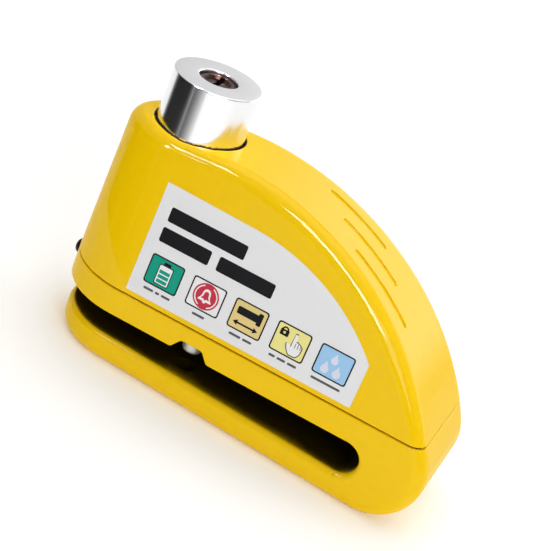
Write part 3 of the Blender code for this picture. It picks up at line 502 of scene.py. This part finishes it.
def surface_net(name, field, axes):
    """The mesh of a field's zero surface, with its normals: one point for each grid cell that it crosses."""
    values = field(*np.meshgrid(*axes, indexing="ij"))
    inside = values < 0
    shape = np.array(values.shape) - 1

    def shifted(array, offset):
        return array[tuple(slice(o, o + n) for o, n in zip(offset, shape))]

    corners = [(i, j, k) for i in (0, 1) for j in (0, 1) for k in (0, 1)]
    count = sum(shifted(inside, corner).astype(np.int8) for corner in corners)
    cells = np.argwhere((count > 0) & (count < 8))
    total, crossings = np.zeros((len(cells), 3)), np.zeros(len(cells))
    for first in corners:
        for axis in range(3):
            if first[axis]:
                continue
            second = tuple(c + (a == axis) for a, c in enumerate(first))
            one, two = cells + first, cells + second
            low, high = values[tuple(one.T)], values[tuple(two.T)]
            crossed = (low < 0) != (high < 0)
            share = np.where(crossed, low / np.where(crossed, low - high, 1), 0)[:, None]
            start = np.stack([axes[a][one[:, a]] for a in range(3)], axis=1)
            end = np.stack([axes[a][two[:, a]] for a in range(3)], axis=1)
            total += np.where(crossed[:, None], start + share * (end - start), 0)
            crossings += crossed
    points = total / crossings[:, None]
    for _ in range(4):
        points -= np.clip(field(*points.T)[:, None] * gradient(field, points), -0.25, 0.25)
    index = np.full(shape, -1)
    index[tuple(cells.T)] = np.arange(len(cells))
    quads = []
    for axis in range(3):
        u, v = (axis + 1) % 3, (axis + 2) % 3
        step = np.eye(3, dtype=int)
        a = inside[tuple(slice(None, -1) if i == axis else slice(1, -1) for i in range(3))]
        b = inside[tuple(slice(1, None) if i == axis else slice(1, -1) for i in range(3))]
        edges = np.argwhere(a != b) + step[u] + step[v]
        outward = inside[tuple(edges.T)]
        ring = [index[tuple((edges - off).T)] for off in (step[u] + step[v], step[v], step[u] * 0, step[u])]
        ring = np.stack(ring, axis=1)
        quads.append(np.where(outward[:, None], ring, ring[:, ::-1]))
    mesh = bpy.data.meshes.new(name)
    mesh.from_pydata(points.tolist(), [], np.concatenate(quads).tolist())
    return mesh, gradient(field, points)


def make_shells():
    x_axis = ticks(-20.6, 92.0, 0.9, 0.45, ((-21, -8), (8, 14.5), (36, 72)))
    y_axis = ticks(-20.3, 20.3, 0.75, 0.4, ((-21, -11), (-8.6, -6), (-1.2, 1.4), (6.2, 8.8), (11, 21)))
    z_axis = ticks(-0.6, 45.2, 0.8, 0.35, ((-1, 1.0), (19, 46)))
    fine = ticks(-8.6, 8.6, 0.22, 0.22, ())
    y_axis = np.concatenate([y_axis[y_axis < -8.6], fine, y_axis[y_axis > fine[-1] + 0.2]])
    housing, normals = surface_net("housing_shell", housing_field, (x_axis, y_axis, z_axis))
    # Faces of the cylinder's hole take the painted gap shade.
    bore = [face.center.xy.length < CYL_HOLE_R + 0.12 for face in housing.polygons]
    shell = finished("housing_shell", housing, [YELLOW, BORE_GAP_SHADE], "casing",
                     ["upper_housing"], normals)
    shell.data.polygons.foreach_set("material_index", np.array(bore, np.int32))
    x_axis = ticks(-20.6, 95.0, 0.8, 0.4, ((-21, -12), (17, 31), (66, 78)))
    y_axis = ticks(-20.3, 20.3, 0.7, 0.4, ((-21, -14), (14, 21)))
    z_axis = ticks(-26.4, 16.4, 0.6, 0.3, ((-19, -2.5), (-1.2, 0.6)))
    base, normals = surface_net("base_body", base_field, (x_axis, y_axis, z_axis))
    finished("base_body", base, [BASE_YELLOW], "casing", ["base_casting"], normals)


# Lock cylinder, key plug, pin and fasteners

def make_cylinder():
    roof = CYL_TOP - SLEEVE_ROOF
    profile = [(KEYHOLE_R, roof), (KEYHOLE_R, CYL_TOP), (CYL_R, CYL_TOP), (CYL_R, CYL_BOTTOM),
               (SLEEVE_INNER_R, CYL_BOTTOM), (SLEEVE_INNER_R, roof)]
    sleeve = mesh_of("chrome_sleeve", lathe(rounded(profile, 0.5)))
    sleeve = cut(sleeve, [box((-14, -4.1, 19.3), (-4, 4.1, 22.7))])
    sleeve.materials.clear()
    piece = finished("chrome_sleeve", sleeve, [CHROME, SATIN], "lock_cylinder", ["cylinder_sleeve"])
    up = (LOCK.to_3x3() @ Vector((0, 0, 1))).normalized()
    face_at = LOCK @ Vector((0, 0, CYL_TOP - 0.05))
    for face in piece.data.polygons:
        on_top = (face.center - face_at).dot(up) > 0
        face.material_index = int(on_top and face.normal.dot(up) > 0.7)


def make_plug():
    profile = [(0, PLUG_BOTTOM), (PLUG_R, PLUG_BOTTOM), (PLUG_R, PLUG_TOP - 0.5), (PLUG_R - 0.6, PLUG_TOP),
               (0, PLUG_TOP)]
    plug = mesh_of("key_plug", lathe(profile, steps=64))
    keyway = [(-0.75, -3.9), (0.75, -3.9), (0.75, 3.9), (-0.75, 3.9), (-0.75, 2.7), (-1.6, 2.7),
              (-1.6, 1.6), (-0.75, 1.6)]
    low, high = PLUG_TOP - 0.7, PLUG_TOP + 1
    dish = lathe([(0, low), (3.3, low), (4.1, high), (0, high)], steps=64)
    cutters = [prism(keyway, 34.5, 60), dish, lathe([(0, 20), (1.1, 20), (1.1, 31), (0, 31)], steps=24)]
    for level in WAFER_LEVELS:
        cutters.append(box((-2.5, -7, level - 0.8), (2.5, 7, level + 0.8)))
    finished("key_plug_body", cut(plug, cutters), [BRONZE], "key_plug", ["lock_plug"])


def make_pin():
    tip = [(0, PIN_TIP), (1.9, PIN_TIP), (2.3, PIN_TIP + 0.1), (2.58, PIN_TIP + 0.35),
           (PIN_R, PIN_TIP + 0.75), (PIN_R, PIN_TOP), (0, PIN_TOP)]
    pin = mesh_of("steel_pin", lathe(tip, PIN_X, PIN_Y, 64))
    finished("steel_pin", pin, [GROUND], "lock_cylinder", ["locking_pin"])


def make_end_screw():
    head = [(0, 1.72), (0.6, 1.71), (1.2, 1.52), (1.7, 1.22), (2.05, 0.75), (2.2, 0.25), (2.2, 0.0),
            (1.2, 0.0)]
    thread = []
    for i in range(14):
        thread += [(1.2, -0.3 - 0.28 * i), (1.0, -0.44 - 0.28 * i)]
    profile = head + thread + [(0.8, -4.4), (0, -4.4)]
    mesh = mesh_of("black_screw", lathe(profile, steps=40))
    mesh = cut(mesh, [prism(disc(0, 0, 0.95, 6), 0.8, 3)])
    mesh.transform(Matrix.Translation((-19.85, 0, -3.7)) @ Matrix.Rotation(-math.pi / 2, 4, "Y"))
    mesh.materials.clear()
    finished("black_screw", mesh, [BLACK_OXIDE], "casing", ["end_screw"])


def make_spring():
    """A helix with closed ends."""
    wire, radius, low, high, turns, steps, sides = 0.55, 5.3, -2.85, 14.2, 5, 36, 12
    bm = bmesh.new()
    rings = []
    for i in range(turns * steps + 1):
        a = 2 * math.pi * i / steps
        outward = Vector((math.cos(a), math.sin(a), 0))
        centre = outward * radius + Vector((0, 0, low + wire + (high - low - 2 * wire) * i / (turns * steps)))
        ring = []
        for j in range(sides):
            b = 2 * math.pi * j / sides
            ring.append(bm.verts.new(centre + wire * (outward * math.cos(b) + Vector((0, 0, math.sin(b))))))
        rings.append(ring)
    for one, two in zip(rings, rings[1:]):
        for j in range(sides):
            k = (j + 1) % sides
            bm.faces.new((one[j], one[k], two[k], two[j]))
    bm.faces.new(rings[0])
    bm.faces.new(rings[-1])
    spring = finished("coil_spring", mesh_of("coil_spring", bm), [CAD_FINISHES["spring_steel"]], "casing",
                      ["return_spring"])
    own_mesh(spring)


# Label

def on_front(point, depth):
    """A point (x, z) of the sloping front face, moved out from it by depth."""
    lean = math.atan(DRAFT)
    x, z = point
    return x, -(HALF_WIDTH - DRAFT * z) - depth * math.cos(lean), z + depth * math.sin(lean)


class Print:
    """Flat shapes stacked on the front face, each a thin plate in one ink."""

    def __init__(self, name):
        self.name = name
        self.bm = bmesh.new()
        self.inks = []

    def add(self, outline, layer, material):
        if material not in self.inks:
            self.inks.append(material)
        plate = prism(outline, 0.03 + 0.02 * layer, 0.07 + 0.02 * layer, on_front)
        for face in plate.faces:
            face.material_index = self.inks.index(material)
        mesh = bpy.data.meshes.new("plate")
        bmesh.ops.recalc_face_normals(plate, faces=plate.faces[:])
        plate.to_mesh(mesh)
        plate.free()
        self.bm.from_mesh(mesh)
        bpy.data.meshes.remove(mesh)

    def done(self, replaced=()):
        mesh = bpy.data.meshes.new(self.name)
        self.bm.to_mesh(mesh)
        self.bm.free()
        finished(self.name, mesh, self.inks, "casing", replaced)


def oblong(x0, z0, x1, z1, radius=0.0, steps=5):
    outline = [(x0, z0), (x1, z0), (x1, z1), (x0, z1)]
    return rounded(outline, radius, steps) if radius else outline


def disc(x, z, radius, steps=40):
    return arc(x, z, radius, 0, 360, steps)[:-1]


def band(x, z, radius, width, start, end, steps=20):
    """A curved bar with square ends."""
    return arc(x, z, radius, start, end, steps) + arc(x, z, radius - width, end, start, steps)


def bell(x, z, size):
    """A plain bell: dome, flared rim and clapper."""
    half = [(0.0, 1.0), (0.28, 0.93), (0.46, 0.72), (0.54, 0.42), (0.58, 0.0), (0.70, -0.30), (0.92, -0.52),
            (0.92, -0.70), (0.24, -0.70), (0.18, -0.88), (0.0, -0.96)]
    outline = half + [(-a, b) for a, b in half[-2:0:-1]]
    return [(x + size * a, z + size * b) for a, b in outline]


def drop(x, z, size):
    """A water drop: a circle drawn out to a point on top."""
    outline = arc(0, 0, 1, 150, 390, 28)
    outline += [(0.42, 1.15), (0.12, 1.85), (0.0, 2.1), (-0.12, 1.85), (-0.42, 1.15)]
    return [(x + size * a, z + size * b) for a, b in outline]


def hand(x, z, size):
    """A plain hand with one finger raised."""
    outline = [(-0.22, 2.0), (0.22, 2.0), (0.26, 0.75), (0.46, 0.95), (0.68, 0.70), (0.90, 0.80), (1.05, 0.55),
               (1.25, 0.55), (1.38, 0.25), (1.30, -0.75), (0.85, -1.35), (-0.25, -1.35), (-0.75, -0.70),
               (-1.10, 0.10), (-0.80, 0.25), (-0.26, -0.25)]
    return rounded([(x + size * a, z + size * b) for a, b in outline], size * 0.22, 4)


def grown(outline, by):
    """An outline spread outwards from its own middle by a fixed amount."""
    cx = sum(p[0] for p in outline) / len(outline)
    cz = sum(p[1] for p in outline) / len(outline)
    made = []
    for x, z in outline:
        way = Vector((x - cx, z - cz))
        made.append((x + way.normalized().x * by, z + way.normalized().y * by))
    return made


def battery_icon(page, x, z):
    page.add(oblong(x - 2.1, z - 3.25, x + 2.1, z + 2.35, 0.5), 2, BLACK_INK)
    page.add(oblong(x - 1.0, z + 2.2, x + 1.0, z + 3.15, 0.25), 2, BLACK_INK)
    page.add(oblong(x - 1.85, z - 3.0, x + 1.85, z + 2.1, 0.35), 3, WHITE_INK)
    for i in range(3):
        page.add(oblong(x - 1.5, z - 2.7 + i * 1.3, x + 1.5, z - 1.75 + i * 1.3, 0.1), 4, TEAL_INK)


def bell_icon(page, x, z):
    page.add(disc(x, z, 3.65), 2, RED_INK)
    for start in (-66, 114):
        page.add(band(x, z, 3.2, 0.32, start, start + 132), 3, WHITE_INK)
    page.add(bell(x, z + 0.05, 2.05), 3, WHITE_INK)
    page.add(bell(x, z + 0.15, 1.25), 4, RED_INK)


def pin_icon(page, x, z):
    page.add(oblong(x - 3.5, z + 0.2, x + 2.6, z + 2.3, 0.4), 2, BLACK_INK)
    page.add(oblong(x + 2.3, z - 0.5, x + 3.6, z + 3.0, 0.35), 2, BLACK_INK)
    page.add(oblong(x - 2.6, z - 2.35, x + 2.6, z - 1.85), 2, BLACK_INK)
    for side in (-1, 1):
        arrow = [(x + side * 3.6, z - 2.1), (x + side * 2.3, z - 2.9), (x + side * 2.3, z - 1.3)]
        page.add(arrow, 2, BLACK_INK)


def touch_icon(page, x, z):
    page.add(oblong(x - 3.6, z + 0.7, x - 1.2, z + 2.4, 0.25), 2, BLACK_INK)
    page.add(band(x - 2.4, z + 2.3, 0.95, 0.42, -5, 185), 2, BLACK_INK)
    page.add(disc(x - 2.4, z + 1.6, 0.35, 16), 3, PALE_INK)
    shape = hand(x + 1.0, z - 0.9, 1.75)
    page.add(grown(shape, 0.26), 2, BLACK_INK)
    page.add(shape, 3, WHITE_INK)
    for i in range(3):
        left = x + 1.45 + i * 0.75
        page.add(oblong(left, z - 1.0, left + 0.16, z + 0.35), 4, BLACK_INK)


def drops_icon(page, x, z):
    for dx, dz, size in ((-0.1, 1.0, 1.0), (-1.8, -2.1, 1.12), (1.6, -2.1, 1.12)):
        page.add(drop(x + dx, z + dz, size), 2, DROP_INK)


TILE_X0, TILE_PITCH, TILE_WIDTH, TILE_LOW, TILE_HIGH = 5.35, 12.5, 9.75, 5.85, 14.2
TILES = (
    (TEAL_INK, battery_icon, (2.9, 1.2, 2.6)),
    (WHITE_INK, bell_icon, (3.6,)),
    (TAN_INK, pin_icon, (3.4, 2.6)),
    (PALE_INK, touch_icon, (1.8, 2.4, 2.6)),
    (BLUE_INK, drops_icon, (8.4,)),
)
HEADLINE_BARS, HEADLINE_HALF = ((5.5, 28.0, 25.5), (5.3, 19.8, 19.7), (22.2, 38.5, 19.7)), 2.05
FRAME_LINE = 0.4


def make_label():
    start = math.degrees(math.acos((LABEL_RIGHT - LABEL_ARC_X) / LABEL_ARC_R))
    sheet = Print("label_sheet")
    outline = [(LABEL_LEFT, LABEL_HIGH), (LABEL_LEFT, LABEL_LOW), (LABEL_RIGHT, LABEL_LOW)]
    sheet.add(outline + arc(LABEL_ARC_X, LABEL_ARC_Z, LABEL_ARC_R, start, 90, 48), 0, FILM)
    sheet.done(["front_label"])
    headline = Print("label_headline")
    for x0, x1, z in HEADLINE_BARS:
        headline.add(oblong(x0, z - HEADLINE_HALF, x1, z + HEADLINE_HALF, 0.6), 1, BLACK_INK)
    headline.done()
    captions = Print("label_captions")
    for number, (paper, icon, widths) in enumerate(TILES):
        left = TILE_X0 + number * TILE_PITCH
        middle = left + TILE_WIDTH / 2
        tile = Print(f"label_tile_{number + 1}")
        tile.add(oblong(left, TILE_LOW, left + TILE_WIDTH, TILE_HIGH, 0.9), 0.6, BLACK_INK)
        right = left + TILE_WIDTH - FRAME_LINE
        inner = oblong(left + FRAME_LINE, TILE_LOW + FRAME_LINE, right, TILE_HIGH - FRAME_LINE, 0.6)
        tile.add(inner, 1.2, paper)
        icon(tile, middle, (TILE_LOW + TILE_HIGH) / 2)
        tile.done()
        x = middle - (sum(widths) + 0.6 * (len(widths) - 1)) / 2
        for width in widths:
            captions.add(oblong(x, TILE_LOW - 1.75, x + width, TILE_LOW - 1.1, 0.3), 1, GREY_INK)
            x += width + 0.6
    captions.done()


# Stage

def stage_material(name, colour):
    material = surface(name, colour, 0.7, grain=40.0, relief=0.00001, tint=0.01)
    shader_of(material).inputs["Specular IOR Level"].default_value = 0.1
    shader_of(material).inputs["Emission Color"].default_value = (1, 1, 1, 1)
    shader_of(material).inputs["Emission Strength"].default_value = 0.12
    return material


def reflected_only(name, mesh, material):
    mesh.materials.append(material)
    made = bpy.data.objects.new(name, mesh)
    made.visible_camera = False
    made.visible_diffuse = False
    made.visible_shadow = False
    bpy.context.scene.collection.objects.link(made)


def toned_glow(name):
    """A glowing material whose strength is the mesh's own tone."""
    material = bpy.data.materials.new(name)
    material.use_nodes = True
    nodes, links = material.node_tree.nodes, material.node_tree.links
    shader = shader_of(material)
    shader.inputs["Base Color"].default_value = (0, 0, 0, 1)
    shader.inputs["Roughness"].default_value = 1.0
    shader.inputs["Specular IOR Level"].default_value = 0.0
    shader.inputs["Emission Color"].default_value = (1, 1, 1, 1)
    reader = nodes.new("ShaderNodeAttribute")
    reader.attribute_name = "tone"
    links.new(reader.outputs["Fac"], shader.inputs["Emission Strength"])
    return material


def reflection_wall(name, radius, height, tones):
    """A curved wall round the cylinder, seen in reflections only; tones is its brightness by direction."""
    axis = LOCK @ Vector((0, 0, 45))
    directions = np.arange(tones[0][0], tones[-1][0] + 0.5, 1.0)
    bm = bmesh.new()
    tone = bm.verts.layers.float.new("tone")
    rows = []
    for direction in directions:
        a = math.radians(direction)
        x, y = axis.x + radius * math.cos(a), axis.y + radius * math.sin(a)
        row = [bm.verts.new((x, y, z)) for z in (0.0005, height)]
        for vert in row:
            vert[tone] = float(np.interp(direction, [t[0] for t in tones], [t[1] for t in tones]))
        rows.append(row)
    for one, two in zip(rows, rows[1:]):
        bm.faces.new((one[0], two[0], two[1], one[1]))
    mesh = bpy.data.meshes.new(name)
    bm.to_mesh(mesh)
    bm.free()
    reflected_only(name, mesh, toned_glow(name))


def smooth(t):
    t = min(max(t, 0.0), 1.0)
    return t * t * (3 - 2 * t)


def bright_backdrop(name, left, right, distance, high, radiance):
    """A bright panel behind the lock that only shows in reflections and fades out at its edges."""
    bm = bmesh.new()
    tone = bm.verts.layers.float.new("tone")
    columns = []
    for x in np.linspace(left, right, 33):
        column = []
        for z in np.linspace(0, high, 25):
            vert = bm.verts.new((float(x), distance, float(z)))
            side = smooth((x - left) / 0.5) * smooth((right - x) / 0.3)
            vert[tone] = WORLD_TONE + (radiance - WORLD_TONE) * side * smooth(z / 0.2) * smooth((high - z) / 0.3)
            column.append(vert)
        columns.append(column)
    for one, two in zip(columns, columns[1:]):
        for i in range(len(one) - 1):
            bm.faces.new((one[i], two[i], two[i + 1], one[i + 1]))
    mesh = bpy.data.meshes.new(name)
    bm.to_mesh(mesh)
    bm.free()
    reflected_only(name, mesh, toned_glow(name))


def strip_light(name, start, end, distance, width, radiance):
    """A long thin light for highlights only, whose ends lie in two given directions from the lock."""
    middle = Vector((0, 0, 0.045))
    ends = [middle + Vector(way).normalized() * distance for way in (start, end)]
    centre = (ends[0] + ends[1]) / 2
    back = (centre - middle).normalized()
    along = (ends[1] - ends[0]).normalized()
    side = back.cross(along).normalized()
    light = bpy.data.lights.new(name, "AREA")
    light.shape = "RECTANGLE"
    light.size, light.size_y = (ends[1] - ends[0]).length, width
    light.energy = radiance * math.pi * light.size * light.size_y
    made = bpy.data.objects.new(name, light)
    turn = Matrix((side.cross(back), side, back)).transposed().to_4x4()
    made.matrix_world = Matrix.Translation(centre) @ turn
    made.visible_diffuse = False
    bpy.context.scene.collection.objects.link(made)


def area_light(name, direction, distance, size, power):
    light = bpy.data.lights.new(name, "AREA")
    light.shape = "RECTANGLE"
    light.size, light.size_y = size
    light.energy = power
    made = bpy.data.objects.new(name, light)
    way = Vector(direction).normalized()
    made.location = way * distance + Vector((0, 0, 0.03))
    made.rotation_mode = "QUATERNION"
    made.rotation_quaternion = way.to_track_quat("Z", "Y")
    bpy.context.scene.collection.objects.link(made)


def make_world():
    """Bright overhead and behind, dark low down in front."""
    world = bpy.data.worlds.new("studio")
    bpy.context.scene.world = world
    world.use_nodes = True
    nodes, links = world.node_tree.nodes, world.node_tree.links
    place = nodes.new("ShaderNodeTexCoord")
    dot = nodes.new("ShaderNodeVectorMath")
    dot.operation = "DOT_PRODUCT"
    dot.inputs[1].default_value = Vector((0.0, 0.62, 0.78)).normalized()
    links.new(place.outputs["Generated"], dot.inputs[0])
    level = nodes.new("ShaderNodeMapRange")
    level.interpolation_type = "SMOOTHSTEP"
    level.inputs["From Min"].default_value = -0.35
    level.inputs["From Max"].default_value = 0.75
    level.inputs["To Min"].default_value = 0.25
    level.inputs["To Max"].default_value = 0.80
    links.new(dot.outputs["Value"], level.inputs["Value"])
    links.new(level.outputs["Result"], nodes["Background"].inputs["Strength"])
    nodes["Background"].inputs["Color"].default_value = (1, 1, 1, 1)


def make_stage():
    make_world()
    size = 3.0
    bm = bmesh.new()
    bmesh.ops.create_grid(bm, x_segments=8, y_segments=8, size=size)
    mesh = bpy.data.meshes.new("floor")
    bm.to_mesh(mesh)
    bm.free()
    mesh.materials.append(stage_material("pale_floor", (0.93, 0.93, 0.93)))
    floor = bpy.data.objects.new("floor", mesh)
    bpy.context.scene.collection.objects.link(floor)
    area_light("overhead", (0.05, 0.25, 1.0), 0.9, (0.9, 0.7), 2.7)
    area_light("key", (0.55, -0.75, 0.50), 0.9, (0.4, 0.4), 2.3)
    strip_light("edge_strip", (0.0, -0.62, 0.78), (0.42, -0.81, 0.40), 0.8, 0.16, 34.0)
    strip_light("neck_light", (-0.49, -0.78, 0.38), (-0.40, -0.72, 0.56), 0.8, 0.10, 36.0)
    strip_light("shoulder_light", (-0.38, -0.44, 0.81), (-0.30, -0.60, 0.74), 0.8, 0.10, 36.0)
    tones = ((-186, 0.8), (-180, 0.03), (-165, 0.012), (-140, 0.02), (-129, 0.012), (-122, 0.08), (-120, 0.4),
             (-118, 0.4), (-116, 0.07), (-104, 0.3), (-88, 0.8))
    reflection_wall("dark_wall", 0.10, 0.09, tones)
    bright_backdrop("bright_backdrop", -0.35, 1.6, 0.9, 0.75, 3.0)


def make_camera():
    data = bpy.data.cameras.new("camera")
    data.lens = CAMERA_LENS
    data.sensor_width = 36.0
    data.shift_y = CAMERA_SHIFT_Y
    data.clip_start = 0.01
    camera = bpy.data.objects.new("camera", data)
    camera.location = CAMERA_AT
    way = Vector(CAMERA_LOOKS_AT) - Vector(CAMERA_AT)
    camera.rotation_mode = "QUATERNION"
    camera.rotation_quaternion = way.to_track_quat("-Z", "Y") @ Quaternion((0, 0, 1), CAMERA_ROLL)
    bpy.context.scene.collection.objects.link(camera)
    bpy.context.scene.camera = camera


def finish_cad_nodes():
    """Gives each CAD node that still shows the finish of its material slot."""
    slots = {part["node"]: part["material_slot"] for part in frame["record"]["subparts"]}
    for name, node in frame["nodes"].items():
        node.data.materials.clear()
        node.data.materials.append(CAD_FINISHES[slots[name]])


def main():
    make_camera()
    finish_cad_nodes()
    make_shells()
    make_cylinder()
    make_plug()
    make_pin()
    make_end_screw()
    make_spring()
    make_label()
    make_stage()
    bpy.context.scene.view_settings.view_transform = "Standard"


main()
bpy.context.view_layer.update()
